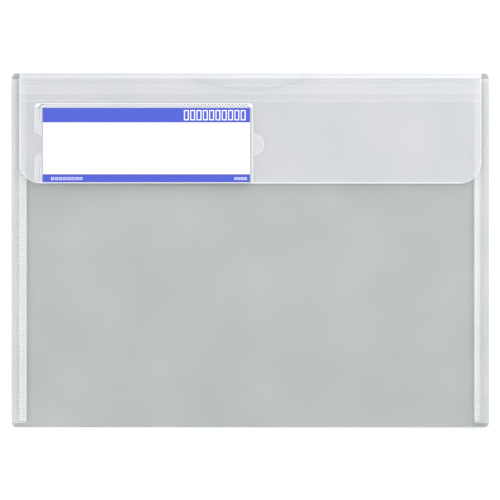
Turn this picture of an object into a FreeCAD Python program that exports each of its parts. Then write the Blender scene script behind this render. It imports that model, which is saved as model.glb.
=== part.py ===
import FreeCAD, Part

import os

import Sketcher

# A clear portfolio case for A4 sheets, made of soft polypropylene sheet and lying closed on its
# back. Millimetres: X runs across the case, Y from its bottom fold up to its flap fold, and +Z
# up through its thickness. The origin is the middle of the back panel's underside.
#
# One die-cut sheet makes the back panel, the bottom fold, the front panel, the four gusset
# leaves and the flap. The flap is scored across into a spine, three narrow strips and the flap
# panel, so that it folds over a thin or a thick filling. A pocket of thinner film is spot-welded
# on the flap and holds a loose name card.

doc = FreeCAD.newDocument("portfolio_case")

# The driving dimensions, each with what it measures.
SIZES = {
    "case_width": (330.0, "across the case, from side fold to side fold"),
    "case_height": (245.0, "from the bottom fold to the flap fold"),
    "corner_round": (3.4, "radius of the case's outer corners"),
    "sheet_gauge": (0.3, "thickness of the body sheet"),
    "film_gauge": (0.2, "thickness of the pocket film"),
    "card_gauge": (0.2, "thickness of the name card"),
    "inside_gap": (4.5, "clear space between the back and front panels at rest"),
    "slip_gap": (0.3, "air between the front panel and the closed flap"),
    "card_slip": (0.15, "air over and under the name card"),
    "fold_gap": (0.3, "slit between the bottom fold and the front panel"),
    "mouth_drop": (4.4, "from the flap fold down to the front panel's top edge"),
    "notch_chord": (72.0, "width of the thumb notch along the front panel's top edge"),
    "notch_depth": (6.3, "depth of the thumb notch"),
    "gusset_reach": (10.5, "how far the gusset leaves reach in from the side folds"),
    "gusset_turn": (5.1, "from a side fold in to where the two leaves meet"),
    "gusset_bend": (0.1, "from there to where a leaf's outer face turns flat"),
    "gusset_foot": (0.7, "width of a leaf where it folds back off its panel"),
    "gusset_round": (3.0, "radius of a leaf's free corners"),
    "seam_width": (3.1, "width of the ridged weld that joins two leaves"),
    "seam_proud": (0.1, "height of the ridged weld above the front leaf"),
    "seam_end": (1.7, "from a leaf's end to the end of its weld"),
    "flap_width": (319.0, "width of the flap"),
    "flap_drop": (76.5, "from the flap fold down to the flap's free edge"),
    "flap_round": (14.5, "radius of the flap's free corners"),
    "spine_run": (3.9, "how far in Y the spine leans back over the mouth"),
    "spine_start": (0.4, "from the flap fold to the spine's stiff part"),
    "crease_pitch": (5.2, "spacing of the score lines across the flap"),
    "crease_gap": (0.2, "width of a score line"),
    "pocket_left": (149.0, "from the middle of the case to the pocket's left edge"),
    "pocket_width": (151.0, "width of the pocket film"),
    "pocket_height": (55.6, "height of the pocket film"),
    "pocket_round": (3.0, "radius of the pocket film's corners"),
    "tongue_base": (16.0, "height of the pull tongue at the pocket's open end"),
    "tongue_reach": (7.4, "how far the pull tongue stands out of the pocket"),
    "tongue_rise": (26.7, "from the flap's free edge up to the middle of the tongue"),
    "card_left": (143.3, "from the middle of the case to the card's left edge"),
    "card_width": (143.0, "width of the name card"),
    "card_height": (51.5, "height of the name card"),
    "card_foot": (0.7, "from the flap's free edge up to the card"),
    "dot_radius": (0.4, "radius of a weld dot"),
    "dot_pitch": (2.36, "spacing of the weld dots"),
    "dot_rows": (1.3, "spacing of the two staggered rows of weld dots"),
    "dot_margin": (1.1, "from the pocket's top edge to the first row of dots"),
    "dot_inset": (3.3, "from the pocket's left edge to the side dots"),
    "dot_foot": (2.0, "from the flap's free edge to the lowest side dot"),
    "dot_top": (6.3, "from the pocket's top edge to the highest side dot"),
    "arc_weld_radius": (3.4, "outer radius of the curved weld round the card's corner"),
    "arc_weld_width": (0.6, "width of the curved weld"),
    "seal_width": (0.5, "width of the seal along the pocket's lower edge"),
}

FOLD_ARCS = 4
TOP_DOTS = 60
LOWER_SIDE_DOTS = 4
UPPER_SIDE_DOTS = 3

sheet = doc.addObject("Spreadsheet::Sheet", "Sizes")
for row, (alias, (value, meaning)) in enumerate(SIZES.items(), start=1):
    sheet.set(f"A{row}", alias)
    sheet.set(f"B{row}", str(value))
    sheet.set(f"C{row}", meaning)
    sheet.setAlias(f"B{row}", alias)
doc.recompute()

# Levels and lines that several pieces share, as expressions over the sheet.
SIDE_FOLD = "Sizes.case_width / 2"
FLAP_FOLD = "Sizes.case_height / 2"
BODY_DEPTH = "(2 * Sizes.sheet_gauge + Sizes.inside_gap)"
MIDDLE = f"{BODY_DEPTH} / 2"
FRONT_UNDER = "(Sizes.sheet_gauge + Sizes.inside_gap)"
FLAP_UNDER = f"({BODY_DEPTH} + Sizes.slip_gap)"
FLAP_TOP = f"({FLAP_UNDER} + Sizes.sheet_gauge)"
CARD_UNDER = f"({FLAP_TOP} + Sizes.card_slip)"
FILM_UNDER = f"({CARD_UNDER} + Sizes.card_gauge + Sizes.card_slip)"
WELD_HEIGHT = "(Sizes.card_gauge + 2 * Sizes.card_slip)"
FOLD_LINE = f"({MIDDLE} - Sizes.case_height / 2)"
MOUTH_EDGE = "(Sizes.case_height / 2 - Sizes.mouth_drop)"
FREE_EDGE = "(Sizes.case_height / 2 - Sizes.flap_drop)"
FIRST_CREASE = "(Sizes.case_height / 2 - Sizes.spine_run)"
PANEL_LENGTH = "(Sizes.flap_drop - Sizes.spine_run - 3 * Sizes.crease_pitch)"
POCKET_END = "(Sizes.pocket_width - Sizes.pocket_left)"
POCKET_TOP = f"({FREE_EDGE} + Sizes.pocket_height)"

pieces = {}


def bind(thing, expressions):
    """Tie properties of one object to expressions over the spreadsheet."""
    for name, expression in expressions.items():
        thing.setExpression(name, expression)


def place(thing, x, y, z):
    """Tie the object's position to expressions over the spreadsheet."""
    bind(thing, {"Placement.Base.x": x, "Placement.Base.y": y, "Placement.Base.z": z})


def keep(label, thing):
    """Name a finished piece and list it for export."""
    thing.Label = label
    pieces[label] = thing
    return thing


def plate(label, width, length, gauge, corner):
    """A flat piece cut from sheet, with its low corner at the given place."""
    body = doc.addObject("PartDesign::Body", label)
    slab = body.newObject("PartDesign::AdditiveBox", f"{label}_slab")
    bind(slab, {"Length": width, "Width": length, "Height": gauge})
    place(body, *corner)
    return keep(label, body)


def round_corners(body, corners, radius):
    """Round the body's upright edges at the given corners, where (0, 0) is low X, low Y."""
    doc.recompute()
    blank = body.Tip
    box = blank.Shape.BoundBox
    names = []
    for number, edge in enumerate(blank.Shape.Edges, start=1):
        middle = edge.CenterOfMass
        for along_x, along_y in corners:
            corner = FreeCAD.Vector(
                box.XMin + along_x * box.XLength, box.YMin + along_y * box.YLength, middle.z
            )
            if middle.distanceToPoint(corner) < 0.001:
                names.append(f"Edge{number}")
    fillet = body.newObject("PartDesign::Fillet", f"{body.Name}_corners")
    fillet.Base = (blank, names)
    bind(fillet, {"Radius": radius})


def bite(body, name, radius, x, y):
    """Cut a round bite through a flat piece, centred at x and y from its low corner."""
    cutter = body.newObject("PartDesign::SubtractiveCylinder", name)
    bind(cutter, {"Radius": radius, "Height": "3 * Sizes.sheet_gauge"})
    place(cutter, x, y, "-Sizes.sheet_gauge")


def profile(body, name, plane_role, points):
    """A closed outline of straight lines, each corner tied to expressions over the sheet."""
    sketch = body.newObject("Sketcher::SketchObject", name)
    plane = next(f for f in body.Origin.OriginFeatures if f.Role == plane_role)
    sketch.AttachmentSupport = (plane, "")
    sketch.MapMode = "FlatFace"
    count = len(points)
    for number in range(count):
        start = FreeCAD.Vector(number, number % 2, 0)
        end = FreeCAD.Vector((number + 1) % count, (number + 1) % 2, 0)
        sketch.addGeometry(Part.LineSegment(start, end), False)
    for number in range(count):
        follower = (number + 1) % count
        sketch.addConstraint(Sketcher.Constraint("Coincident", number, 2, follower, 1))
    for number, (across, up) in enumerate(points):
        for kind, expression in (("DistanceX", across), ("DistanceY", up)):
            index = sketch.addConstraint(Sketcher.Constraint(kind, number, 1, 1.0))
            sketch.setExpression(f"Constraints[{index}]", expression)
    return sketch


# Back panel: the flat sheet that the case lies on. It ends at the flap fold, where its two
# corners stand clear of the narrower flap and are rounded.
back = plate(
    "back_panel",
    "Sizes.case_width",
    f"{FLAP_FOLD} - {FOLD_LINE}",
    "Sizes.sheet_gauge",
    (f"-{SIDE_FOLD}", FOLD_LINE, "0"),
)
round_corners(back, [(0, 1), (1, 1)], "Sizes.corner_round")

# Front panel: as wide as the back one, from the bottom fold to the mouth, with a shallow thumb
# notch in the middle of its top edge.
NOTCH_RADIUS = (
    "((Sizes.notch_chord / 2) ^ 2 + Sizes.notch_depth ^ 2) / (2 * Sizes.notch_depth)"
)
FRONT_LENGTH = f"({MOUTH_EDGE} - {FOLD_LINE} - Sizes.fold_gap)"
front = plate(
    "front_panel",
    "Sizes.case_width",
    FRONT_LENGTH,
    "Sizes.sheet_gauge",
    (f"-{SIDE_FOLD}", f"{FOLD_LINE} + Sizes.fold_gap", FRONT_UNDER),
)
bite(
    front,
    "thumb_notch",
    NOTCH_RADIUS,
    SIDE_FOLD,
    f"{FRONT_LENGTH} - Sizes.notch_depth + {NOTCH_RADIUS}",
)

# Bottom fold: a half-round bend that joins the two panels, with the case's lower corners
# rounded off it. Its axis is the line that the front panel swings about. It is made of equal
# arcs side by side, so that its collision shape follows the bend and stays open inside.
ARC_ANGLE = 180 / FOLD_ARCS
FOLD_AXES = FreeCAD.Rotation(
    FreeCAD.Vector(0, 0, 1), FreeCAD.Vector(0, -1, 0), FreeCAD.Vector(1, 0, 0), "XYZ"
)
outline = doc.addObject("PartDesign::Body", "fold_outline")
outline_block = outline.newObject("PartDesign::AdditiveBox", "fold_outline_block")
bind(
    outline_block,
    {"Length": "Sizes.case_width", "Width": "4 * Sizes.corner_round", "Height": BODY_DEPTH},
)
place(outline, f"-{SIDE_FOLD}", "-Sizes.case_height / 2", "0")
round_corners(outline, [(0, 0), (1, 0)], "Sizes.corner_round")
arcs = []
for number in range(FOLD_ARCS):
    turn = FreeCAD.Rotation(FreeCAD.Vector(0, 0, 1), number * ARC_ANGLE)
    bends = []
    for name, radius in (("outside", MIDDLE), ("inside", f"{MIDDLE} - Sizes.sheet_gauge")):
        bend = doc.addObject("Part::Cylinder", f"bend_{number + 1}_{name}")
        bend.Angle = ARC_ANGLE
        bend.Placement = FreeCAD.Placement(FreeCAD.Vector(), FOLD_AXES * turn)
        bind(bend, {"Radius": radius, "Height": "Sizes.case_width"})
        place(bend, f"-{SIDE_FOLD}", FOLD_LINE, MIDDLE)
        bends.append(bend)
    trough = doc.addObject("Part::Cut", f"bend_{number + 1}")
    trough.Base, trough.Tool = bends
    arc = doc.addObject("Part::Common", f"fold_arc_{number + 1}")
    arc.Base, arc.Tool = trough, outline
    arcs.append(arc)
bottom_fold = doc.addObject("Part::Compound", "bottom_fold")
bottom_fold.Links = arcs
keep("bottom_fold", bottom_fold)

# Gusset leaves: strips folded in from both panels' side edges. The two leaves of a side lean
# together, lie face to face along their free edges and are welded there, so the side walls
# open like a V when the front panel lifts.
LEAF_FROM = f"({FOLD_LINE} + Sizes.fold_gap)"
LEAF_LENGTH = f"({MOUTH_EDGE} - {LEAF_FROM})"
for side, sign in (("left", -1), ("right", 1)):
    for panel, face, toward_middle in (
        ("back", "Sizes.sheet_gauge", 1),
        ("front", FRONT_UNDER, -1),
    ):
        label = f"{side}_{panel}_leaf"
        gauge = f"{toward_middle} * Sizes.sheet_gauge"
        corners = [
            ("0", face),
            ("Sizes.gusset_foot", face),
            ("Sizes.gusset_turn + Sizes.gusset_bend", f"{MIDDLE} - {gauge}"),
            ("Sizes.gusset_reach", f"{MIDDLE} - {gauge}"),
            ("Sizes.gusset_reach", MIDDLE),
            ("Sizes.gusset_turn", MIDDLE),
        ]
        leaf = doc.addObject("PartDesign::Body", label)
        section = profile(
            leaf,
            f"{label}_section",
            "XZ_Plane",
            [(f"{-sign} * ({inward})", up) for inward, up in corners],
        )
        strip = leaf.newObject("PartDesign::Pad", f"{label}_strip")
        strip.Profile = section
        strip.SideType = "Symmetric"
        bind(strip, {"Length": LEAF_LENGTH})
        place(leaf, f"{sign} * {SIDE_FOLD}", f"{LEAF_FROM} + {LEAF_LENGTH} / 2", "0")
        free_side = (1 - sign) // 2
        round_corners(leaf, [(free_side, 0), (free_side, 1)], "Sizes.gusset_round")
        keep(label, leaf)

# Side seams: the ridged weld bands that join the leaves, standing a little above the front
# leaf's face. The bands stop short of the leaves' ends.
SEAM_FROM = "(Sizes.gusset_turn + Sizes.gusset_bend)"
for side, left_edge in (
    ("left", f"-{SIDE_FOLD} + {SEAM_FROM}"),
    ("right", f"{SIDE_FOLD} - {SEAM_FROM} - Sizes.seam_width"),
):
    plate(
        f"{side}_seam",
        "Sizes.seam_width",
        f"{LEAF_LENGTH} - 2 * Sizes.seam_end",
        "Sizes.seam_proud",
        (left_edge, f"{LEAF_FROM} + Sizes.seam_end", f"{MIDDLE} + Sizes.sheet_gauge"),
    )

# Flap spine: the flap's first strip, leaning back over the mouth from the flap fold to the
# first score line. It turns on the flap fold, the line along the back panel's top edge.
SPINE_LENGTH = f"sqrt(Sizes.spine_run ^ 2 + {FLAP_UNDER} ^ 2)"
SPINE_LEAN = f"atan2({FLAP_UNDER}; -Sizes.spine_run)"
spine = doc.addObject("PartDesign::Body", "flap_spine")
spine_slab = spine.newObject("PartDesign::AdditiveBox", "flap_spine_slab")
bind(
    spine_slab,
    {
        "Length": "Sizes.flap_width",
        "Width": f"{SPINE_LENGTH} - Sizes.spine_start - Sizes.crease_gap / 2",
        "Height": "Sizes.sheet_gauge",
    },
)
place(spine_slab, "-Sizes.flap_width / 2", "Sizes.spine_start", "-Sizes.sheet_gauge / 2")
spine.Placement = FreeCAD.Placement(
    FreeCAD.Vector(), FreeCAD.Rotation(FreeCAD.Vector(1, 0, 0), 90)
)
bind(spine, {"Placement.Rotation.Angle": SPINE_LEAN})
place(spine, "0", FLAP_FOLD, "Sizes.sheet_gauge / 2")
keep("flap_spine", spine)

# Flap strips: three narrow bands between the score lines.
for number in (1, 2, 3):
    plate(
        f"flap_strip_{number}",
        "Sizes.flap_width",
        "Sizes.crease_pitch - Sizes.crease_gap",
        "Sizes.sheet_gauge",
        (
            "-Sizes.flap_width / 2",
            f"{FIRST_CREASE} - {number} * Sizes.crease_pitch + Sizes.crease_gap / 2",
            FLAP_UNDER,
        ),
    )

# Flap panel: the broad part of the flap below the last score line, with large free corners.
flap = plate(
    "flap_panel",
    "Sizes.flap_width",
    f"{PANEL_LENGTH} - Sizes.crease_gap / 2",
    "Sizes.sheet_gauge",
    ("-Sizes.flap_width / 2", FREE_EDGE, FLAP_UNDER),
)
round_corners(flap, [(0, 0), (1, 0)], "Sizes.flap_round")

# Pull tongue: a D-shaped tab that lifts the pocket's open end. The pocket's other end has a
# notch of the same outline, because neighbouring pockets are cut from one web of film, and
# that notch bares the card's edge so that a finger can push the card out.
TONGUE_RADIUS = (
    "((Sizes.tongue_base / 2) ^ 2 + Sizes.tongue_reach ^ 2) / (2 * Sizes.tongue_reach)"
)
TONGUE_FROM = f"({POCKET_END} + Sizes.crease_gap / 2)"
TONGUE_SINK = f"({TONGUE_RADIUS} - Sizes.tongue_reach)"
tongue = doc.addObject("PartDesign::Body", "pocket_tongue")
disc = tongue.newObject("PartDesign::AdditiveCylinder", "tongue_disc")
bind(disc, {"Radius": TONGUE_RADIUS, "Height": "Sizes.film_gauge"})
trim = tongue.newObject("PartDesign::SubtractiveBox", "tongue_trim")
bind(
    trim,
    {
        "Length": "2 * Sizes.tongue_base",
        "Width": "2 * Sizes.tongue_base",
        "Height": "3 * Sizes.film_gauge",
    },
)
place(
    trim,
    f"{TONGUE_SINK} - 2 * Sizes.tongue_base",
    "-Sizes.tongue_base",
    "-Sizes.film_gauge",
)
place(tongue, f"{TONGUE_FROM} - {TONGUE_SINK}", f"{FREE_EDGE} + Sizes.tongue_rise", FILM_UNDER)
keep("pocket_tongue", tongue)

# Pocket film: a sheet of thinner film over the flap panel's lower left part.
film = plate(
    "pocket_film",
    "Sizes.pocket_width - Sizes.crease_gap / 2",
    "Sizes.pocket_height",
    "Sizes.film_gauge",
    ("-Sizes.pocket_left", FREE_EDGE, FILM_UNDER),
)
round_corners(film, [(0, 0), (0, 1), (1, 1)], "Sizes.pocket_round")
bite(film, "finger_notch", TONGUE_RADIUS, f"-{TONGUE_SINK}", "Sizes.tongue_rise")

# Name card: a loose printed card between the film and the flap.
plate(
    "name_card",
    "Sizes.card_width",
    "Sizes.card_height",
    "Sizes.card_gauge",
    ("-Sizes.card_left", f"{FREE_EDGE} + Sizes.card_foot", CARD_UNDER),
)


def weld_dots(label, places):
    """A group of round spot welds that tie the film to the flap at the given places."""
    dots = []
    for number, (x, y) in enumerate(places, start=1):
        dot = doc.addObject("Part::Cylinder", f"{label}_{number}")
        bind(dot, {"Radius": "Sizes.dot_radius", "Height": WELD_HEIGHT})
        place(dot, x, y, FLAP_TOP)
        dots.append(dot)
    group = doc.addObject("Part::Compound", label)
    group.Links = dots
    keep(label, group)


# Top weld: two staggered rows of dots along the pocket's upper edge.
top_dots = []
for number in range(2 * TOP_DOTS):
    lower_row = number % 2
    top_dots.append(
        (
            f"-Sizes.card_left + Sizes.dot_pitch * {(number + 1) / 2}",
            f"{POCKET_TOP} - Sizes.dot_margin - {lower_row} * Sizes.dot_rows",
        )
    )
weld_dots("pocket_top_weld", top_dots)

# Side weld: a few dots above and below the finger notch, at the pocket's closed end.
SIDE_DOTS_AT = "-Sizes.pocket_left + Sizes.dot_inset"
side_dots = []
for number in range(LOWER_SIDE_DOTS):
    side_dots.append((SIDE_DOTS_AT, f"{FREE_EDGE} + Sizes.dot_foot + {number} * Sizes.dot_pitch"))
for number in range(UPPER_SIDE_DOTS):
    side_dots.append((SIDE_DOTS_AT, f"{POCKET_TOP} - Sizes.dot_top - {number} * Sizes.dot_pitch"))
weld_dots("pocket_side_weld", side_dots)

# Corner weld: a short curved weld that rounds the card's upper left corner.
quarters = []
for name, radius in (
    ("corner_weld_outside", "Sizes.arc_weld_radius"),
    ("corner_weld_inside", "Sizes.arc_weld_radius - Sizes.arc_weld_width"),
):
    quarter = doc.addObject("Part::Cylinder", name)
    quarter.Angle = 90
    quarter.Placement = FreeCAD.Placement(
        FreeCAD.Vector(), FreeCAD.Rotation(FreeCAD.Vector(0, 0, 1), 90)
    )
    bind(quarter, {"Radius": radius, "Height": WELD_HEIGHT})
    place(
        quarter,
        "-Sizes.card_left + Sizes.arc_weld_width",
        f"{FREE_EDGE} + Sizes.card_foot + Sizes.card_height - Sizes.arc_weld_width",
        FLAP_TOP,
    )
    quarters.append(quarter)
corner_weld = doc.addObject("Part::Cut", "pocket_corner_weld")
corner_weld.Base, corner_weld.Tool = quarters
keep("pocket_corner_weld", corner_weld)

# Edge seal: the narrow seal along the free edge, where film and flap are cut together.
plate(
    "pocket_edge_seal",
    "Sizes.pocket_width - 2 * Sizes.pocket_round",
    "Sizes.seal_width",
    WELD_HEIGHT,
    ("-Sizes.pocket_left + Sizes.pocket_round", FREE_EDGE, FLAP_TOP),
)

doc.recompute()
for thing in doc.Objects:
    if "Invalid" in thing.State or "Error" in thing.State:
        raise RuntimeError(f"{thing.Label} did not recompute")
for label, piece in pieces.items():
    if piece.Shape.isNull() or not piece.Shape.isValid():
        raise RuntimeError(f"{label} has no valid shape")

os.makedirs("parts", exist_ok=True)
for label, piece in pieces.items():
    piece.Shape.exportStep(f"parts/{label}.step")
    box = piece.Shape.BoundBox
    print(
        f"{label:20s} solids {len(piece.Shape.Solids):3d}  volume {piece.Shape.Volume:9.2f}  "
        f"x {box.XMin:8.2f} {box.XMax:8.2f}  y {box.YMin:8.2f} {box.YMax:8.2f}  "
        f"z {box.ZMin:6.2f} {box.ZMax:6.2f}"
    )
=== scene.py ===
import math

import bmesh
import bpy
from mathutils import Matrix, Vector


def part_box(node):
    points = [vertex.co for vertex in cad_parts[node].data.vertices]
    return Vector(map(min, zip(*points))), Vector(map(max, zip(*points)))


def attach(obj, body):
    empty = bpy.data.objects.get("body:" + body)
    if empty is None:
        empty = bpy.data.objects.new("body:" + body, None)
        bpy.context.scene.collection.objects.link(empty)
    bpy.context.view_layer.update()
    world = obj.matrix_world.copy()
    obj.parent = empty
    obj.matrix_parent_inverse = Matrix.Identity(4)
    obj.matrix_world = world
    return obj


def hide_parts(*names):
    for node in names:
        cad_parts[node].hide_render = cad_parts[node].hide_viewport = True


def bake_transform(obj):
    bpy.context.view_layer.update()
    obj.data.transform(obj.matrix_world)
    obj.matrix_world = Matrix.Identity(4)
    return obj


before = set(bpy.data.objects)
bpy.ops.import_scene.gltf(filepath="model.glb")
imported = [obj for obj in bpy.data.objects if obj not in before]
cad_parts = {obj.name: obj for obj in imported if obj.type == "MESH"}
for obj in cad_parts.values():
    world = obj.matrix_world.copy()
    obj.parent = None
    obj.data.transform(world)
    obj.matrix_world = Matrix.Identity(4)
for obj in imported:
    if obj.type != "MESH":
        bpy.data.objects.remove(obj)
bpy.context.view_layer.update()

# ---------------------------------------------------------------------------------------------
# View, table and light. The case lies on a white table and is seen from straight above, under a
# bright, even sky, with one soft lamp beyond its upper right corner and a weaker one beyond its
# lower left corner.
scene = bpy.context.scene
scene.view_settings.view_transform = "Standard"

SENSOR_MM = 36.0
VIEW_WIDTH = 0.3454
VIEW_LEVEL = 0.005
VIEW_SHIFT = -0.00024
CAMERA_HEIGHT = 3.0
camera_data = bpy.data.cameras.new("camera")
camera_data.sensor_width = SENSOR_MM
camera_data.lens = SENSOR_MM * (CAMERA_HEIGHT - VIEW_LEVEL) / VIEW_WIDTH
camera = bpy.data.objects.new("camera", camera_data)
camera.location = (VIEW_SHIFT, 0.0, CAMERA_HEIGHT)
scene.collection.objects.link(camera)
scene.camera = camera


def linear(code):
    """A hex colour as linear red, green, blue and an alpha of one."""
    channels = [int(code[i : i + 2], 16) / 255 for i in (1, 3, 5)]
    return tuple(
        c / 12.92 if c <= 0.04045 else ((c + 0.055) / 1.055) ** 2.4 for c in channels
    ) + (1.0,)


def node(tree, kind, inputs=None, **settings):
    """Add a node with its settings; an input takes a value, or another node's output as a link."""
    made = tree.nodes.new(kind)
    for name, value in settings.items():
        setattr(made, name, value)
    for name, value in (inputs or {}).items():
        if isinstance(value, bpy.types.NodeSocket):
            tree.links.new(value, made.inputs[name])
        else:
            made.inputs[name].default_value = value
    return made


def blank_material(name):
    """A new material and its empty node tree."""
    material = bpy.data.materials.new(name)
    material.use_nodes = True
    material.node_tree.nodes.clear()
    return material, material.node_tree


# The table's paint: matt white lacquer, rolled on, so it is a little uneven and hardly glossy.
table_paint, tree = blank_material("matt_white_lacquer_rolled")
coordinates = node(tree, "ShaderNodeTexCoord").outputs["Object"]
stipple = node(tree, "ShaderNodeTexNoise", {"Vector": coordinates, "Scale": 300.0})
bump = node(
    tree,
    "ShaderNodeBump",
    {"Height": stipple.outputs["Fac"], "Strength": 0.05, "Distance": 0.0002},
)
paint = node(
    tree,
    "ShaderNodeBsdfPrincipled",
    {"Base Color": linear("#f4f4f4"), "Roughness": 0.8, "Normal": bump.outputs["Normal"]},
)
node(tree, "ShaderNodeOutputMaterial", {"Surface": paint.outputs["BSDF"]})

TABLE_HALF = 4.0
TABLE_LEVEL = -0.0004
TABLE_CORNERS = ((-1, -1), (1, -1), (1, 1), (-1, 1))
table_mesh = bpy.data.meshes.new("table")
table_mesh.from_pydata(
    [(x * TABLE_HALF, y * TABLE_HALF, TABLE_LEVEL) for x, y in TABLE_CORNERS],
    [],
    [(0, 1, 2, 3)],
)
table_mesh.materials.append(table_paint)
table = bpy.data.objects.new("table", table_mesh)
scene.collection.objects.link(table)

world = bpy.data.worlds.new("even_sky")
world.use_nodes = True
world.node_tree.nodes.clear()
sky = node(world.node_tree, "ShaderNodeBackground", {"Color": linear("#fdfeff"), "Strength": 1.0})
node(world.node_tree, "ShaderNodeOutputWorld", {"Surface": sky.outputs["Background"]})
scene.world = world

for name, place, size, watts in (
    ("key_lamp", (0.42, 0.62, 0.48), 0.65, 5.8),
    ("fill_lamp", (-0.75, -0.5, 0.75), 0.8, 6.0),
):
    lamp_data = bpy.data.lights.new(name, "AREA")
    lamp_data.size = size
    lamp_data.energy = watts
    lamp = bpy.data.objects.new(name, lamp_data)
    lamp.location = place
    lamp.rotation_euler = (-Vector(place)).to_track_quat("-Z", "Y").to_euler()
    scene.collection.objects.link(lamp)

# ---------------------------------------------------------------------------------------------
# Body sheet: frosted polypropylene, extruded 0.3 mm thick and die-cut. One piece makes the
# back, the rolled bottom fold and the front with its thumb notch, and it bends at the fold.
MM = 0.001


def frosted_sheet(name, deep, pale, alpha, roughness, rim_colour, rim_alpha):
    """Extruded polypropylene film or sheet. Its colour drifts a little between deep and pale in
    clouds and along the extrusion, its matt roller leaves a fine grain, and it takes its rim
    colour wherever the rim attribute marks a cut edge, a crease or a weld. A white rim colour is
    the film's whitening, on cut edges partly a painted highlight; a dark rim colour is painted
    shade."""
    material, tree = blank_material(name)
    coordinates = node(tree, "ShaderNodeTexCoord").outputs["Object"]
    # Clouds some 50 mm across; streaks 2 mm wide and 200 mm long, along the extrusion in X.
    clouds = node(
        tree, "ShaderNodeTexNoise", {"Vector": coordinates, "Scale": 20.0, "Detail": 2.0}
    )
    stretched = node(
        tree, "ShaderNodeMapping", {"Vector": coordinates, "Scale": (5.0, 500.0, 500.0)}
    )
    streaks = node(
        tree, "ShaderNodeTexNoise", {"Vector": stretched.outputs["Vector"], "Scale": 1.0}
    )
    drift = node(
        tree,
        "ShaderNodeMix",
        {"Factor": 0.25, "A": clouds.outputs["Fac"], "B": streaks.outputs["Fac"]},
    )
    tone = node(tree, "ShaderNodeValToRGB", {"Fac": drift.outputs["Result"]})
    tone.color_ramp.elements[0].position = 0.35
    tone.color_ramp.elements[0].color = linear(deep)
    tone.color_ramp.elements[1].position = 0.65
    tone.color_ramp.elements[1].color = linear(pale)
    rim = node(tree, "ShaderNodeAttribute", attribute_name="rim").outputs["Fac"]
    colour = node(tree, "ShaderNodeMix", {"Factor": rim}, data_type="RGBA")
    tree.links.new(tone.outputs["Color"], colour.inputs["A"])
    colour.inputs["B"].default_value = linear(rim_colour)
    cover = node(
        tree, "ShaderNodeMapRange", {"Value": rim, "To Min": alpha, "To Max": rim_alpha}
    )
    # The matt grain is about 0.2 mm on the real sheet; it is drawn at 2 mm so that it shows.
    grain = node(tree, "ShaderNodeTexNoise", {"Vector": coordinates, "Scale": 500.0})
    bump = node(
        tree,
        "ShaderNodeBump",
        {"Height": grain.outputs["Fac"], "Strength": 0.2, "Distance": 0.00004},
    )
    sheet = node(
        tree,
        "ShaderNodeBsdfPrincipled",
        {
            "Base Color": colour.outputs["Result"],
            "Alpha": cover.outputs["Result"],
            "Roughness": roughness,
            "IOR": 1.49,
            "Normal": bump.outputs["Normal"],
        },
    )
    node(tree, "ShaderNodeOutputMaterial", {"Surface": sheet.outputs["BSDF"]})
    return material


def skin(name, upper, lower, rim, materials, second_from=None, second_under=False):
    """A closed sheet between two grids of points in millimetres. rim holds one value for each
    point of a grid. The second material goes on the rows from second_from on, or on the whole
    lower face."""
    rows, columns = len(upper), len(upper[0])
    half = rows * columns
    points = [point for grid in (upper, lower) for row in grid for point in row]
    faces, slots = [], []
    for i in range(rows - 1):
        for j in range(columns - 1):
            a = i * columns + j
            corners = (a, a + 1, a + columns + 1, a + columns)
            faces.append(corners)
            faces.append(tuple(half + c for c in reversed(corners)))
            second = int(second_from is not None and i >= second_from)
            slots += [second, int(second_under or second)]
    border = list(range(columns))
    border += [i * columns + columns - 1 for i in range(1, rows)]
    border += [(rows - 1) * columns + j for j in range(columns - 2, -1, -1)]
    border += [i * columns for i in range(rows - 2, 0, -1)]
    for a, b in zip(border, border[1:] + border[:1]):
        faces.append((b, a, half + a, half + b))
        slots.append(int(second_from is not None and min(a, b) // columns >= second_from))
    mesh = bpy.data.meshes.new(name)
    mesh.from_pydata([tuple(c * MM for c in point) for point in points], [], faces)
    for material in materials:
        mesh.materials.append(material)
    mesh.polygons.foreach_set("material_index", slots)
    values = [value for row in rim for value in row] * 2
    mesh.attributes.new("rim", "FLOAT", "POINT").data.foreach_set("value", values)
    shell = bmesh.new()
    shell.from_mesh(mesh)
    bmesh.ops.recalc_face_normals(shell, faces=shell.faces)
    shell.to_mesh(mesh)
    shell.free()
    mesh.shade_smooth()
    mesh.set_sharp_from_angle(angle=math.radians(40))
    piece = bpy.data.objects.new(name, mesh)
    scene.collection.objects.link(piece)
    return piece


def walls(middle, gauge):
    """The two faces of a bent sheet whose middle surface is a grid of points."""
    rows, columns = len(middle), len(middle[0])
    upper, lower = [], []
    for i in range(rows):
        above, below = [], []
        for j in range(columns):
            here = Vector(middle[i][j])
            along = Vector(middle[min(i + 1, rows - 1)][j]) - Vector(middle[max(i - 1, 0)][j])
            across = Vector(middle[i][min(j + 1, columns - 1)]) - Vector(middle[i][max(j - 1, 0)])
            normal = across.cross(along).normalized() * gauge / 2
            above.append(tuple(here + normal))
            below.append(tuple(here - normal))
        upper.append(above)
        lower.append(below)
    return upper, lower


def box_mm(name):
    """A CAD node's lowest and highest corner, in millimetres."""
    low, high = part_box(name)
    return low / MM, high / MM


# Steps in from a side edge, and how much of the edge's rim colour each one takes. On the flap that
# is white, partly a painted highlight of the edge; on the body it is a faint painted shade.
RIM_STEPS = (0.0, 0.35, 0.7, 1.6, 3.0)
RIM_SHARES = (1.0, 0.8, 0.0, 0.0, 0.0)


def across_sheet(half_width, middle_steps):
    """Column places from one side edge to the other, close together by both edges."""
    left = [-half_width + step for step in RIM_STEPS]
    span = 2 * (half_width - RIM_STEPS[-1])
    between = [left[-1] + span * k / middle_steps for k in range(1, middle_steps)]
    return left + between + [-x for x in reversed(left)]


def edge_rim(middle_steps):
    """How far each column of across_sheet shares the rim colour of a side edge."""
    return list(RIM_SHARES) + [0.0] * (middle_steps - 1) + list(reversed(RIM_SHARES))


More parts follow.
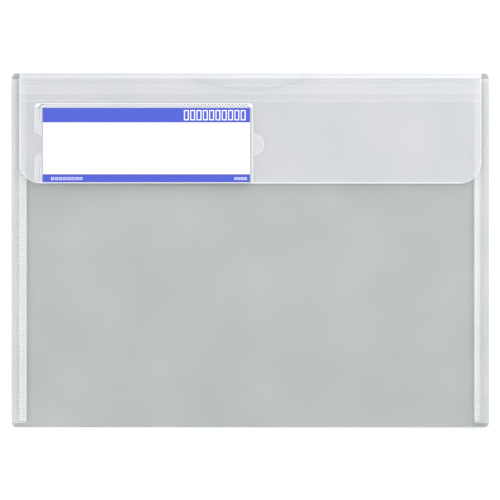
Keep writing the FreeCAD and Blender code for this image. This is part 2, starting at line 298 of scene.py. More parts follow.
back_low, back_high = box_mm("back_panel")
front_low, front_high = box_mm("front_panel")
GAUGE = front_high.z - front_low.z
HALF_WIDTH = back_high.x
FOLD_LINE = back_low.y
FOLD_RADIUS = (front_high.z - GAUGE) / 2
FLAP_HALF = box_mm("flap_panel")[1].x
MOUTH_EDGE = front_high.y
CORNER_ROUND = 3.4
NOTCH_RADIUS = 106.0
NOTCH_CENTRE = 217.8
# The front's lip: its top edge and where its trimmed corners begin. Then steps down from the edge,
# how dark each one is painted where the edge is cut open, a painted shadow along the cut edge, and
# the share of that on a plain edge.
LIP_EDGE = 121.2
LIP_CORNER = 160.2
LIP_STEPS = (3.4, 2.4, 1.6, 0.5, 0.0)
LIP_SHARES = (0.0, 0.35, 0.9, 1.0, 1.0)
LIP_PLAIN = 0.15
FOLD_START = back_high.y - 0.3
FRONT_SAG = 0.5
SAG_RUN = 60.0
PANEL_ROWS = 40
BEND_STEPS = 12
COLUMN_STEPS = 64


def case_half_width(y):
    """Half the case's width at y, less by its rounded corners."""
    for corner, outward in ((back_high.y, 1), (FOLD_LINE - FOLD_RADIUS - GAUGE / 2, -1)):
        into = outward * (y - (corner - outward * CORNER_ROUND))
        if into > 0:
            into = min(into, CORNER_ROUND)
            return HALF_WIDTH - CORNER_ROUND + math.sqrt(CORNER_ROUND**2 - into**2)
    return HALF_WIDTH


def front_edge(x):
    """Where the front's top edge lies: the lip under the flap's bend, its trimmed corners and
    the thumb notch."""
    lip = LIP_EDGE if abs(x) < LIP_CORNER else MOUTH_EDGE
    if abs(x) > NOTCH_RADIUS / 2:
        return lip
    return min(lip, NOTCH_CENTRE - math.sqrt(NOTCH_RADIUS**2 - x**2))


middle, rim = [], []
CORNER_STEPS = (0.0, 0.12, 0.4, 0.8, 1.4, 2.2, 3.1)
back_rows = [FOLD_START - step for step in CORNER_STEPS]
plain_length = back_rows[-1] - FOLD_LINE
back_rows += [
    FOLD_START - CORNER_STEPS[-1] - plain_length * k / PANEL_ROWS for k in range(1, PANEL_ROWS + 1)
]
for y in back_rows:
    xs = across_sheet(case_half_width(y), COLUMN_STEPS)
    middle.append([(x, y, GAUGE / 2) for x in xs])
for k in range(1, BEND_STEPS):
    angle = math.pi * (k / BEND_STEPS - 0.5)
    y = FOLD_LINE - FOLD_RADIUS * math.cos(angle)
    z = GAUGE / 2 + FOLD_RADIUS * (1 + math.sin(angle))
    xs = across_sheet(case_half_width(y), COLUMN_STEPS)
    middle.append([(x, y, z) for x in xs])
xs = across_sheet(HALF_WIDTH, COLUMN_STEPS)
for k in range(PANEL_ROWS + 1):
    row = []
    for x in xs:
        y = FOLD_LINE + k / PANEL_ROWS * (front_edge(x) - LIP_STEPS[0] - FOLD_LINE)
        rise = min(1.0, (y - FOLD_LINE) / SAG_RUN)
        sag = FRONT_SAG * math.cos(math.pi * x / (2 * HALF_WIDTH)) * rise
        row.append((x, y, front_high.z - GAUGE / 2 - sag))
    middle.append(row)
for step in LIP_STEPS[1:]:
    middle.append([(x, front_edge(x) - step, p[2]) for x, p in zip(xs, middle[-1])])
end_rim = dict(zip(range(len(middle) - len(LIP_STEPS), len(middle)), LIP_SHARES))
for i, row in enumerate(middle):
    values = []
    for (x, _y, _z), share in zip(row, edge_rim(COLUMN_STEPS)):
        # Painted shade: the back's bare corners beside the flap take a share of its dark rim
        # colour, the lip is painted darkest where it is cut open in the thumb notch, and the side
        # edges take a faint share.
        corner = 0.3 if i < 2 and abs(x) > FLAP_HALF else 0.0
        notch = min(1.0, (LIP_EDGE - front_edge(x)) / 3.0)
        lip = 0.0
        if abs(x) < LIP_CORNER:
            lip = end_rim.get(i, 0.0) * (LIP_PLAIN + (1 - LIP_PLAIN) * notch)
        values.append(max(corner, lip, 0.05 * share))
    rim.append(values)

# Painted shade: the back is the same sheet as the front, painted a deeper grey and made less
# clear, so that the case's inside looks shaded through the front, and its dark rim colour paints
# shade on the bare corners and side edges. The front is clearer, and takes over a third of the way
# round the fold; its near black rim colour paints the shadow along its cut lip.
back_sheet_painted_shade = frosted_sheet(
    "polypropylene_sheet_back", "#aaafaf", "#b6b7b5", 0.78, 0.45, "#6e7373", 0.9
)
front_sheet = frosted_sheet(
    "polypropylene_sheet_front", "#b8bdbc", "#c0c2c3", 0.2, 0.4, "#34383a", 0.95
)
upper, lower = walls(middle, GAUGE)
body_sheet = skin(
    "body_sheet", upper, lower, rim, [back_sheet_painted_shade, front_sheet], len(back_rows) + BEND_STEPS // 3
)
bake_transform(body_sheet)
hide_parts("back_panel", "front_panel", "bottom_fold")

# ---------------------------------------------------------------------------------------------
# Gusset leaves: the same sheet, folded in along both side edges, two leaves to a side. They
# lie face to face at their free edges, so each side wall opens like a V.
leaf_low, leaf_high = box_mm("left_back_leaf")
LEAF_REACH = leaf_high.x - leaf_low.x
MIDDLE_LEVEL = leaf_high.z
LEAF_TURN = 5.2
LEAF_GAUGE = 0.26
LEAF_ROUND = 3.0
SEAM_WIDTH = 3.1
SEAM_INNER = LEAF_TURN + SEAM_WIDTH
LEAF_ROWS = 60

leaf_sheet = frosted_sheet(
    "polypropylene_gusset_folded", "#e2e6e5", "#e9ebea", 0.3, 0.4, "#f4f6f4", 0.95
)
# Places across a leaf: how far in from the side edge, the level above the table for the lower
# leaf, and how white the fold or the weld has made it.
LEAF_PATH = (
    (0.45, 0.32, 0.1),
    (0.18, 0.38, 0.1),
    (0.14, 0.52, 0.1),
    (0.5, 0.72, 0.05),
    (1.6, 1.14, 0.05),
    (3.0, 1.66, 0.1),
    (4.2, 2.11, 0.15),
    (4.8, 2.3, 0.15),
    (LEAF_TURN, MIDDLE_LEVEL - LEAF_GAUGE / 2, 0.3),
    (SEAM_INNER, MIDDLE_LEVEL - LEAF_GAUGE / 2, 0.3),
    (SEAM_INNER + 0.3, MIDDLE_LEVEL - LEAF_GAUGE / 2, 0.75),
    (LEAF_REACH - 0.8, MIDDLE_LEVEL - LEAF_GAUGE / 2, 0.75),
    (LEAF_REACH - 0.4, MIDDLE_LEVEL - LEAF_GAUGE / 2, 0.4),
    (LEAF_REACH, MIDDLE_LEVEL - LEAF_GAUGE / 2, 0.3),
)
for side, sign in (("left", -1), ("right", 1)):
    for wall in ("back", "front"):
        middle, rim = [], []
        for i in range(LEAF_ROWS + 1):
            row = []
            for inward, level, _white in LEAF_PATH:
                into = max(0.0, inward - (LEAF_REACH - LEAF_ROUND))
                trim = LEAF_ROUND - math.sqrt(max(0.0, LEAF_ROUND**2 - into**2))
                low_end, high_end = leaf_low.y + trim, leaf_high.y - trim
                y = low_end + (high_end - low_end) * i / LEAF_ROWS
                z = level if wall == "back" else 2 * MIDDLE_LEVEL - level
                row.append((sign * (HALF_WIDTH - inward), y, z))
            middle.append(row)
            rim.append([white for _inward, _level, white in LEAF_PATH])
        upper, lower = walls(middle, LEAF_GAUGE)
        leaf = skin(f"{side}_{wall}_gusset", upper, lower, rim, [leaf_sheet])
        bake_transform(leaf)
        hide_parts(f"{side}_{wall}_leaf")

# ---------------------------------------------------------------------------------------------
# Side seams: the ribbed band that an ultrasonic horn presses through both leaves. The melted
# ribs turn white. A fainter row of ribs, left by the horn's edge, runs beside the main one.
SEAM_PITCH = 1.4
RIGHT_SEAM_SHIFT = 1.2
rib_white = frosted_sheet(
    "polypropylene_weld_ultrasonic", "#fafbf8", "#fefefb", 0.95, 0.35, "#fefefb", 0.95
)
rib_faint = frosted_sheet(
    "polypropylene_weld_overspill", "#e6e9e7", "#eef0ee", 0.25, 0.4, "#eef0ee", 0.25
)


def open_tree(name, sockets):
    """A geometry node tree with named inputs: the tree, each input's identifier and the inputs'
    sockets inside the tree."""
    tree = bpy.data.node_groups.new(name, "GeometryNodeTree")
    face = tree.interface
    identifiers = {
        label: face.new_socket(label, in_out="INPUT", socket_type=f"NodeSocket{kind}").identifier
        for label, kind in sockets.items()
    }
    face.new_socket("Geometry", in_out="OUTPUT", socket_type="NodeSocketGeometry")
    return tree, identifiers, node(tree, "NodeGroupInput").outputs


def close_tree(tree, points, instance, finish):
    """Set the instance on every point, make all of them real and give them their material."""
    placed = node(tree, "GeometryNodeInstanceOnPoints", {"Points": points, "Instance": instance})
    solid = node(
        tree, "GeometryNodeRealizeInstances", {"Geometry": placed.outputs["Instances"]}
    )
    painted = node(
        tree,
        "GeometryNodeSetMaterial",
        {"Geometry": solid.outputs["Geometry"], "Material": finish},
    )
    node(tree, "NodeGroupOutput", {"Geometry": painted.outputs["Geometry"]})


rib_tree, SEAM_INPUTS, given = open_tree(
    "weld_ribs",
    {
        "Rib count": "Int",
        "Rib pitch": "Float",
        "Rib length": "Float",
        "Rib radius": "Float",
        "Rib flatness": "Float",
        "First rib": "Vector",
        "Finish": "Material",
    },
)
pitch = node(rib_tree, "ShaderNodeCombineXYZ", {"Y": given["Rib pitch"]})
line = node(
    rib_tree,
    "GeometryNodeMeshLine",
    {
        "Count": given["Rib count"],
        "Start Location": given["First rib"],
        "Offset": pitch.outputs["Vector"],
    },
)
bar = node(
    rib_tree,
    "GeometryNodeMeshCylinder",
    {"Vertices": 8, "Radius": given["Rib radius"], "Depth": given["Rib length"]},
)
flatten = node(rib_tree, "ShaderNodeCombineXYZ", {"X": given["Rib flatness"], "Y": 1.0, "Z": 1.0})
shaped = node(
    rib_tree,
    "GeometryNodeTransform",
    {"Geometry": bar.outputs["Mesh"], "Scale": flatten.outputs["Vector"]},
)
turned = node(
    rib_tree,
    "GeometryNodeTransform",
    {"Geometry": shaped.outputs["Geometry"], "Rotation": (0.0, math.pi / 2, 0.0)},
)
close_tree(rib_tree, line.outputs["Mesh"], turned.outputs["Geometry"], given["Finish"])


def grown(name, tree, identifiers, values, seed_mesh=None):
    """The plain mesh piece that a node tree makes from the given inputs."""
    carrier = bpy.data.objects.new(name, seed_mesh or bpy.data.meshes.new(f"{name}_seed"))
    scene.collection.objects.link(carrier)
    modifier = carrier.modifiers.new(name, "NODES")
    modifier.node_group = tree
    for label, value in values.items():
        modifier[identifiers[label]] = value
    graph = bpy.context.evaluated_depsgraph_get()
    mesh = bpy.data.meshes.new_from_object(carrier.evaluated_get(graph), depsgraph=graph)
    mesh.name = name
    carrier.modifiers.remove(modifier)
    carrier.data = mesh
    return carrier


for side, sign in (("left", -1), ("right", 1)):
    seam_low, seam_high = box_mm(f"{side}_seam")
    count = int((seam_high.y - seam_low.y) / SEAM_PITCH)
    # The right seam's main row is pressed a little further in than the left one's.
    shift = RIGHT_SEAM_SHIFT if side == "right" else 0.0
    for row, from_edge, above, length, radius, flat, finish in (
        ("seam", LEAF_TURN + SEAM_WIDTH / 2 + shift, LEAF_GAUGE, 3.0, 0.42, 0.5, rib_white),
        ("seam_edge", LEAF_TURN - 1.0, 0.72, 1.3, 0.3, 0.5, rib_faint),
    ):
        ribs = grown(
            f"{side}_{row}_ribs",
            rib_tree,
            SEAM_INPUTS,
            {
                "Rib count": count,
                "Rib pitch": SEAM_PITCH * MM,
                "Rib length": length * MM,
                "Rib radius": radius * MM,
                "Rib flatness": flat,
                "First rib": (
                    sign * (HALF_WIDTH - from_edge) * MM,
                    (seam_low.y + SEAM_PITCH / 2) * MM,
                    (MIDDLE_LEVEL + above) * MM,
                ),
                "Finish": finish,
            },
        )
        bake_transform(ribs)
        if row == "seam":
            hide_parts(f"{side}_seam")

# ---------------------------------------------------------------------------------------------
# Flap: the upper end of the body sheet, scored across with a blunt rule. It bends up and over
# the mouth in its first band, then has three narrow bands that let it close over thick papers.
flap_sheet = frosted_sheet(
    "polypropylene_flap_scored", "#f6f7fb", "#fbfbff", 0.32, 0.38, "#fafaff", 0.9
)
# Painted shade: the underside is the same sheet painted a darker grey, and its edges and creases
# are painted darker still on that face.
flap_under = frosted_sheet(
    "polypropylene_flap_underside_painted_shade", "#9b9ea0", "#a2a4a6", 0.33, 0.3, "#6c7174", 0.85
)
flap_low, flap_high = box_mm("flap_panel")
FLAP_LEVEL = (flap_low.z + flap_high.z) / 2
# Half the width of a score line's shoulders, and of the line itself.
SCORE_HALF = 0.45
LINE_HALF = 0.1
FLAP_COLUMNS = 60
flap_xs = across_sheet(FLAP_HALF, FLAP_COLUMNS)
flap_rim = edge_rim(FLAP_COLUMNS)


def band(name, sections, replaced, band_painted_light=0.0):
    """A strip of flap from a list of (y, z of its upper face, z of its lower face, whiteness). No
    part of it is less white than its last argument, which is painted light."""
    upper = [[(x, y, top) for x in flap_xs] for y, top, _under, _white in sections]
    lower = [[(x, y, under) for x in flap_xs] for y, _top, under, _white in sections]
    rim = [[max(white, band_painted_light, 0.5 * edge) for edge in flap_rim] for _y, _t, _u, white in sections]
    piece = skin(name, upper, lower, rim, [flap_sheet, flap_under], second_under=True)
    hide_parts(replaced)
    return piece


# The bend: up from the back's top edge, over the front's lip and down to the first score. Each
# place has its y, the level of the sheet's middle and its whiteness, the whitening of the fold.
# The whiteness is painted stronger to the right, a painted highlight.
bend_path = (
    (FOLD_START, GAUGE / 2, 0.0),
    (FOLD_START + 0.1, GAUGE / 2 + 0.03, 0.0),
    (FOLD_START + 0.15, GAUGE / 2 + 0.2, 0.0),
    (FOLD_START + 0.15, 1.2, 0.0),
    (FOLD_START + 0.15, 2.4, 0.0),
    (FOLD_START + 0.13, 3.6, 0.0),
    (FOLD_START + 0.02, 4.5, 0.0),
    (FOLD_START - 0.3, 5.1, 0.0),
    (FOLD_START - 0.85, 5.42, 0.1),
    (FOLD_START - 1.6, 5.52, 0.2),
    (FOLD_START - 2.6, FLAP_LEVEL, 0.3),
)
spine_end = box_mm("flap_strip_1")[1].y + SCORE_HALF
middle = [[(x, y, z) for x in flap_xs] for y, z, _white in bend_path]
middle.append([(x, spine_end, FLAP_LEVEL) for x in flap_xs])
bend_whites = [white for _y, _z, white in bend_path] + [0.35]
# The factor on x makes the bend whiter to the right: a painted highlight.
rim = [
    [max(white * (1 + 0.3 * x / FLAP_HALF), 0.15 * edge) for x, edge in zip(flap_xs, flap_rim)]
    for white in bend_whites
]
upper, lower = walls(middle, GAUGE)
spine = skin("flap_bend", lower, upper, rim, [flap_sheet, flap_under], second_under=True)
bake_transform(spine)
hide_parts("flap_spine")

# Each band carries the score line at its lower end, a pressed groove with whitened shoulders.
# The first score line has no band of its own, because the bend runs up to it.
tops = [box_mm(f"flap_strip_{k}")[1].y for k in (1, 2, 3)] + [flap_high.y]
UPPER_FACE, LOWER_FACE = flap_high.z, flap_low.z
GROOVE_FLOOR = LOWER_FACE + 0.12


def score(top_edge):
    """Sections across the score line whose middle lies just above top_edge."""
    centre = top_edge + LINE_HALF
    return [
        (centre + SCORE_HALF, UPPER_FACE, LOWER_FACE, 0.0),
        (centre + 0.36, UPPER_FACE + 0.03, LOWER_FACE, 0.1),
        (centre + 0.2, UPPER_FACE + 0.02, LOWER_FACE, 0.28),
        (centre + 0.08, GROOVE_FLOOR, LOWER_FACE, 0.28),
        (centre - 0.08, GROOVE_FLOOR, LOWER_FACE, 0.28),
        (centre - 0.2, UPPER_FACE + 0.02, LOWER_FACE, 0.28),
        (centre - 0.36, UPPER_FACE + 0.03, LOWER_FACE, 0.1),
        (centre - SCORE_HALF, UPPER_FACE, LOWER_FACE, 0.0),
    ]


# Each band's second number is painted light: a floor of whiteness that makes some bands lighter
# than the others, standing for the light that each band's slight tilt catches.
for k, band_painted_light in enumerate((0.0, 0.04, 0.08, 0.02)):
    sections = score(tops[k])
    if k:
        start = tops[k - 1] + LINE_HALF - SCORE_HALF
        sections.insert(0, (start, UPPER_FACE, LOWER_FACE, 0.0))
    name = f"flap_band_{k}" if k else "flap_score_1"
    piece = band(name, sections, f"flap_strip_{max(k, 1)}", band_painted_light)
    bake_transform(piece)

# ---------------------------------------------------------------------------------------------
# Flap panel: the broad end of the flap, with large rounded corners. Its free edge springs up
# a little from the front.
FLAP_ROUND = 14.5
FLAP_SPRING = 0.2
ROUND_STEPS = (0.0, 0.1, 0.35, 0.7, 1.1, 1.8, 2.8, 4.2, 6.0, 8.0, 11.0)
panel_top = flap_high.y + LINE_HALF - SCORE_HALF


def flap_rise(y):
    """How far the flap stands above its closed level at y."""
    return FLAP_SPRING * max(0.0, (panel_top - y) / (panel_top - flap_low.y)) ** 2


panel_rows = [flap_low.y + step for step in ROUND_STEPS]
round_top = flap_low.y + FLAP_ROUND
panel_rows += [round_top + (panel_top - round_top) * k / 12 for k in range(13)]
middle, rim = [], []
for y in panel_rows:
    into = max(0.0, flap_low.y + FLAP_ROUND - y)
    half = FLAP_HALF - FLAP_ROUND + math.sqrt(max(0.0, FLAP_ROUND**2 - into**2))
    middle.append([(x, y, FLAP_LEVEL + flap_rise(y)) for x in across_sheet(half, FLAP_COLUMNS)])
    # The cut edges take the flap's white rim colour: whitened by the cut, and partly a painted
    # highlight where the edges catch the light.
    bottom = 0.7 if y - flap_low.y < 0.5 else 0.0
    rim.append([max(bottom, 0.5 * edge) for edge in flap_rim])
upper, lower = walls(middle, GAUGE)
flap_piece = skin("flap_front", upper, lower, rim, [flap_sheet, flap_under], second_under=True)
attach(flap_piece, "flap")
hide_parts("flap_panel")

# ---------------------------------------------------------------------------------------------
# Name card: smooth white card, offset printed with a blue band along its top and its bottom
# edge. It lies loose in the pocket.
card_low, card_high = box_mm("name_card")


def card_stock(name, colour):
    """Coated card with a faint fibre. It returns the material, its tree, the object coordinates
    and the mix node whose input A holds the colour of the print."""
    material, tree = blank_material(name)
    coordinates = node(tree, "ShaderNodeTexCoord").outputs["Object"]
    # Paper fibre is finer than 0.1 mm; it is drawn at about 0.8 mm, and very faint.
    fibre = node(
        tree, "ShaderNodeTexNoise", {"Vector": coordinates, "Scale": 1200.0, "Detail": 3.0}
    )
    mottle = node(
        tree, "ShaderNodeMapRange", {"Value": fibre.outputs["Fac"], "To Min": 0.97, "To Max": 1.0}
    )
    shaded = node(
        tree, "ShaderNodeMix", {"Factor": 1.0}, data_type="RGBA", blend_type="MULTIPLY"
    )
    shaded.inputs["A"].default_value = linear(colour)
    tree.links.new(mottle.outputs["Result"], shaded.inputs["B"])
    bump = node(
        tree,
        "ShaderNodeBump",
        {"Height": fibre.outputs["Fac"], "Strength": 0.15, "Distance": 0.00003},
    )
    surface = node(
        tree,
        "ShaderNodeBsdfPrincipled",
        {
            "Base Color": shaded.outputs["Result"],
            "Roughness": 0.55,
            "Specular IOR Level": 0.2,
            "Normal": bump.outputs["Normal"],
        },
    )
    node(tree, "ShaderNodeOutputMaterial", {"Surface": surface.outputs["BSDF"]})
    return material, tree, coordinates, shaded


INK, INK_EDGE, STOCK = "#1d37b4", "#2a2f9e", "#d9d9dc"
card_print, tree, coordinates, shaded = card_stock("coated_card_offset_printed", STOCK)
along = node(tree, "ShaderNodeSeparateXYZ", {"Vector": coordinates}).outputs["Y"]
share = node(
    tree,
    "ShaderNodeMapRange",
    {"Value": along, "From Min": card_low.y * MM, "From Max": card_high.y * MM},
)
# Heights up the card at which each colour starts; a thin darker line edges each band.
CARD_HEIGHT = card_high.y - card_low.y
bands = node(tree, "ShaderNodeValToRGB", {"Fac": share.outputs["Result"]})
bands.color_ramp.interpolation = "CONSTANT"
stops = (
    (0.0, INK_EDGE),
    (0.45, INK),
    (4.8, INK_EDGE),
    (5.5, STOCK),
    (CARD_HEIGHT - 10.2, INK_EDGE),
    (CARD_HEIGHT - 9.5, INK),
    (CARD_HEIGHT - 0.6, INK_EDGE),
)
for number, (height, colour) in enumerate(stops):
    if number < 2:
        stop = bands.color_ramp.elements[number]
        stop.position = height / CARD_HEIGHT
    else:
        stop = bands.color_ramp.elements.new(height / CARD_HEIGHT)
    stop.color = linear(colour)
tree.links.new(bands.outputs["Color"], shaded.inputs["A"])

CARD_COLUMNS, CARD_ROWS = 40, 18
middle = []
for i in range(CARD_ROWS + 1):
    y = card_low.y + CARD_HEIGHT * i / CARD_ROWS
    level = (card_low.z + card_high.z) / 2 + flap_rise(y)
    width = card_high.x - card_low.x
    middle.append(
        [(card_low.x + width * j / CARD_COLUMNS, y, level) for j in range(CARD_COLUMNS + 1)]
    )
upper, lower = walls(middle, card_high.z - card_low.z)
blank_rim = [[0.0] * (CARD_COLUMNS + 1) for _row in middle]
card = skin("index_card", upper, lower, blank_rim, [card_print])
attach(card, "card")
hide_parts("name_card")

# ---------------------------------------------------------------------------------------------
# Card marks: rows of blank character boxes, left white in the card's two printed bands. A long
# row stands at the right of the upper band, two short ones at the ends of the lower band.
stock_blank = card_stock("coated_card_unprinted", "#f0f0f2")[0]
box_tree, BOX_INPUTS, given = open_tree(
    "blank_boxes",
    {
        "Box count": "Int",
        "Box pitch": "Float",
        "Box width": "Float",
        "Box height": "Float",
        "Line width": "Float",
        "Line height": "Float",
        "First box": "Vector",
        "Finish": "Material",
    },
)
step = node(box_tree, "ShaderNodeCombineXYZ", {"X": given["Box pitch"]})
line = node(
    box_tree,
    "GeometryNodeMeshLine",
    {
        "Count": given["Box count"],
        "Start Location": given["First box"],
        "Offset": step.outputs["Vector"],
    },
)
outline = node(
    box_tree,
    "GeometryNodeCurvePrimitiveQuadrilateral",
    {"Width": given["Box width"], "Height": given["Box height"]},
)
section = node(
    box_tree,
    "GeometryNodeCurvePrimitiveQuadrilateral",
    {"Width": given["Line width"], "Height": given["Line height"]},
)
frame_bar = node(
    box_tree,
    "GeometryNodeCurveToMesh",
    {"Curve": outline.outputs["Curve"], "Profile Curve": section.outputs["Curve"]},
)
close_tree(box_tree, line.outputs["Mesh"], frame_bar.outputs["Mesh"], given["Finish"])

LINE_THICK = 0.03
for name, count, pitch_mm, width, height, stroke, first_x, middle_y in (
    ("name_boxes", 10, 4.36, 2.7, 6.4, 0.9, -44.2, card_high.y - 5.1),
    ("maker_boxes", 8, 2.8, 1.6, 1.5, 0.5, -136.6, card_low.y + 2.6),
    ("number_boxes", 4, 2.3, 1.3, 1.4, 0.5, -10.2, card_low.y + 2.6),
):
    boxes = grown(
        name,
        box_tree,
        BOX_INPUTS,
        {
            "Box count": count,
            "Box pitch": pitch_mm * MM,
            "Box width": width * MM,
            "Box height": height * MM,
            "Line width": stroke * MM,
            "Line height": LINE_THICK * MM,
            "First box": (
                first_x * MM,
                middle_y * MM,
                (card_high.z + flap_rise(middle_y) + 0.02) * MM,
            ),
            "Finish": stock_blank,
        },
    )
    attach(boxes, "card")

# ---------------------------------------------------------------------------------------------
# Pocket: a thinner, clearer film over the flap's lower left part. It lies on the flap along its
# welded edges and bows over the card, and it is haziest along the welds.
film_low, film_high = box_mm("pocket_film")
tongue_low, tongue_high = box_mm("pocket_tongue")
FILM_GAUGE = film_high.z - film_low.z
FILM_ROUND = 3.0
NOTCH_MIDDLE = (tongue_low.y + tongue_high.y) / 2
TONGUE_HALF = (tongue_high.y - tongue_low.y) / 2
TONGUE_REACH = tongue_high.x - tongue_low.x
TONGUE_RADIUS = (TONGUE_HALF**2 + TONGUE_REACH**2) / (2 * TONGUE_REACH)
pocket_film = frosted_sheet(
    "cast_polypropylene_film_clear", "#eceeef", "#f2f3f4", 0.03, 0.25, "#f4f5f8", 0.85
)


def smooth(value, low, high):
    """A gentle step from nought at low to one at high."""
    share = min(1.0, max(0.0, (value - low) / (high - low)))
    return share * share * (3 - 2 * share)


def d_shape(y):
    """How far the tongue's D outline, and the finger notch's, reaches at y."""
    off = abs(y - NOTCH_MIDDLE)
    if off >= TONGUE_HALF:
        return 0.0
    return math.sqrt(TONGUE_RADIUS**2 - off**2) - (TONGUE_RADIUS - TONGUE_REACH)


def film_level(x, y):
    """Level of the film's middle: on the flap at its welds, clear of the card between them."""
    welded = max(
        1 - smooth(x, card_low.x - 2.9, card_low.x),
        smooth(y, card_high.y, card_high.y + 0.6),
        1 - smooth(y, film_low.y + 0.3, card_low.y + 0.1),
    )
    over_card = (film_low.z + film_high.z) / 2
    on_flap = flap_high.z + FILM_GAUGE
    return over_card + (on_flap - over_card) * welded + flap_rise(y)


def film_haze(x, y):
    """How hazy the film is: along its cut edge, in its welded margins, and hardly at all over
    the card."""
    return max(
        0.25 * (1 - smooth(x, card_low.x - 1.2, card_low.x - 0.2)),
        0.6 * smooth(y, card_high.y + 0.1, card_high.y + 0.7),
        0.15 * smooth(x, card_high.x + 0.1, card_high.x + 0.9),
    )


# Rows lie close together where the film's corners, its notch and its welds need them.
film_ys = [film_low.y + step for step in (0.0, 0.3, 0.5, 0.9, 1.6, 2.4, 3.0)]
film_ys += [film_low.y + 3.0 + k * 1.05 for k in range(1, 15)]
notch_angles = [math.pi * (k / 24 - 0.5) for k in range(25)]
film_ys += [NOTCH_MIDDLE + (TONGUE_HALF + 0.4) * math.sin(angle) for angle in notch_angles]
film_ys += [NOTCH_MIDDLE + TONGUE_HALF + 0.4 + k * 1.06 for k in range(1, 17)]
film_ys += [film_high.y - step for step in (3.0, 2.4, 1.7, 1.0, 0.6, 0.3, 0.12, 0.0)]
film_ys = sorted(y for y in set(film_ys) if film_low.y <= y <= film_high.y)
middle, rim = [], []
for y in film_ys:
    from_end = min(y - film_low.y, film_high.y - y)
    into = max(0.0, FILM_ROUND - from_end)
    trim = FILM_ROUND - math.sqrt(FILM_ROUND**2 - into**2)
    left = film_low.x + max(trim, d_shape(y))
    right = film_high.x - (trim if y > film_high.y - FILM_ROUND else 0.0)
    width = right - left
    places = [left + step for step in (0.0, 0.3, 0.6, 1.2, 2.0, 2.9, 3.8, 4.7, 5.6, 6.5)]
    places += [left + 6.5 + (width - 9.3) * k / 40 for k in range(1, 41)]
    places += [right - step for step in (2.2, 1.7, 1.2, 0.6, 0.3, 0.0)]
    middle.append([(x, y, film_level(x, y)) for x in places])
    row_rim = []
    for number, x in enumerate(places):
        edge = number < 2 or number > len(places) - 3 or from_end < 0.31
        row_rim.append(0.45 if edge else film_haze(x, y))
    rim.append(row_rim)
upper, lower = walls(middle, FILM_GAUGE)
pocket = skin("pocket_sheet", upper, lower, rim, [pocket_film])
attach(pocket, "flap")
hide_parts("pocket_film")

# Pull tongue: the film's D-shaped tab at the pocket's open end, with a rolled, whiter rim.
middle, rim = [], []
TONGUE_COLUMNS = 10
for k in range(33):
    y = NOTCH_MIDDLE + TONGUE_HALF * math.sin(math.pi * (k / 32 - 0.5)) * 0.9995
    reach = d_shape(y)
    root = film_high.x - 0.05
    span = tongue_low.x + reach - root
    places = [root + span * (j / TONGUE_COLUMNS) ** 1.7 for j in range(TONGUE_COLUMNS + 1)]
    middle.append([(x, y, film_level(film_high.x, y)) for x in places])
    end = abs(y - NOTCH_MIDDLE) > TONGUE_HALF - 0.35
    rim.append([0.35 if end or j >= TONGUE_COLUMNS else 0.17 for j in range(TONGUE_COLUMNS + 1)])
upper, lower = walls(middle, FILM_GAUGE)
tongue = skin("pull_tongue", upper, lower, rim, [pocket_film])
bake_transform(tongue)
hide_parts("pocket_tongue")

# ---------------------------------------------------------------------------------------------
# Spot welds: two staggered rows of dots along the pocket's top and a few down its left end. A
# hot pin melts each one clear and turns the film round it white.
# Painted shade: the melted pits and the corner weld line are clear in the film, and their dark
# grey stands for the shade in the melted hollows.
melt_painted_shade = frosted_sheet(
    "polypropylene_weld_melt_painted_shade", "#777b80", "#83878c", 0.8, 0.3, "#83878c", 0.8
)
halo_white = frosted_sheet(
    "polypropylene_weld_halo_whitened", "#eeeef2", "#f2f2f5", 0.7, 0.4, "#f2f2f5", 0.7
)
DOT_PITCH = 2.36
DOT_ROWS = 1.3
DOT_RADIUS = 0.62
HALO_RADIUS = 1.05
TOP_MARGIN = 1.1
SIDE_INSET, SIDE_FOOT, SIDE_TOP = 3.3, 2.0, 6.3
TOP_DOTS, LOWER_SIDE_DOTS, UPPER_SIDE_DOTS = 120, 4, 3
dots = []
for number in range(TOP_DOTS):
    x = card_low.x + DOT_PITCH * (number + 1) / 2
    dots.append((x, film_high.y - TOP_MARGIN - DOT_ROWS * (number % 2)))
side_x = film_low.x + SIDE_INSET
dots += [(side_x, film_low.y + SIDE_FOOT + DOT_PITCH * k) for k in range(LOWER_SIDE_DOTS)]
dots += [(side_x, film_high.y - SIDE_TOP - DOT_PITCH * k) for k in range(UPPER_SIDE_DOTS)]

dot_tree, DOT_INPUTS, given = open_tree(
    "weld_dots",
    {"Places": "Geometry", "Dot radius": "Float", "Dot height": "Float", "Finish": "Material"},
)
pin = node(
    dot_tree,
    "GeometryNodeMeshCylinder",
    {"Vertices": 10, "Radius": given["Dot radius"], "Depth": given["Dot height"]},
)
close_tree(dot_tree, given["Places"], pin.outputs["Mesh"], given["Finish"])

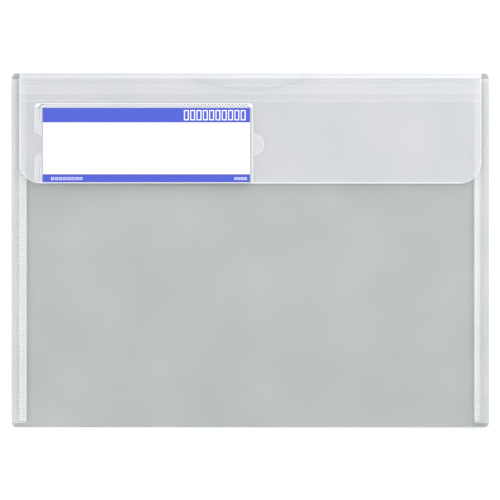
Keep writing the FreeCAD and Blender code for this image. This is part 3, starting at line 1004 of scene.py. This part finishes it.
for name, radius, height, lift, finish, replaced in (
    ("weld_halos", HALO_RADIUS, 0.04, 0.03, halo_white, "pocket_side_weld"),
    ("weld_pits", DOT_RADIUS, 0.05, 0.06, melt_painted_shade, "pocket_top_weld"),
):
    seed = bpy.data.meshes.new(f"{name}_places")
    level = FILM_GAUGE / 2 + lift
    places = [(x * MM, y * MM, (film_level(x, y) + level) * MM) for x, y in dots]
    seed.from_pydata(places, [], [])
    welds = grown(
        name,
        dot_tree,
        DOT_INPUTS,
        {"Dot radius": radius * MM, "Dot height": height * MM, "Finish": finish},
        seed,
    )
    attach(welds, "flap")
    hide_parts(replaced)

# Corner weld: a short curved line round the card's upper left corner.
corner_low, corner_high = box_mm("pocket_corner_weld")
centre_x, centre_y = corner_high.x, corner_low.y
arc_radius = corner_high.x - corner_low.x
middle = []
for k in range(17):
    angle = math.pi / 2 * (1 + k / 16)
    row = []
    for radius in (arc_radius - 0.6, arc_radius - 0.3, arc_radius):
        x, y = centre_x + radius * math.cos(angle), centre_y + radius * math.sin(angle)
        row.append((x, y, film_level(x, y) + FILM_GAUGE / 2 + 0.06))
    middle.append(row)
upper, lower = walls(middle, 0.05)
# The line takes the painted shade of the weld pits.
corner = skin("corner_weld_line", upper, lower, [[0.0] * 3] * 17, [melt_painted_shade])
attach(corner, "flap")
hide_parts("pocket_corner_weld")

# Edge seal: film and flap cut through together with a hot knife, which leaves a thin bead.
seal_low, seal_high = box_mm("pocket_edge_seal")
SEAL_SECTION = ((0.0, 0.0), (0.1, 0.2), (0.35, 0.3), (0.7, 0.26), (1.0, 0.0))
level = flap_high.z + flap_rise(seal_low.y)
seal_xs = [seal_low.x + (seal_high.x - seal_low.x) * k / 30 for k in range(31)]
upper = [[(x, seal_low.y + y, level + FILM_GAUGE + z) for x in seal_xs] for y, z in SEAL_SECTION]
lower = [[(x, seal_low.y + y, level) for x in seal_xs] for y, _z in SEAL_SECTION]
seal = skin("hot_knife_seal", upper, lower, [[0.5] * 31] * len(SEAL_SECTION), [pocket_film])
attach(seal, "flap")
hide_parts("pocket_edge_seal")
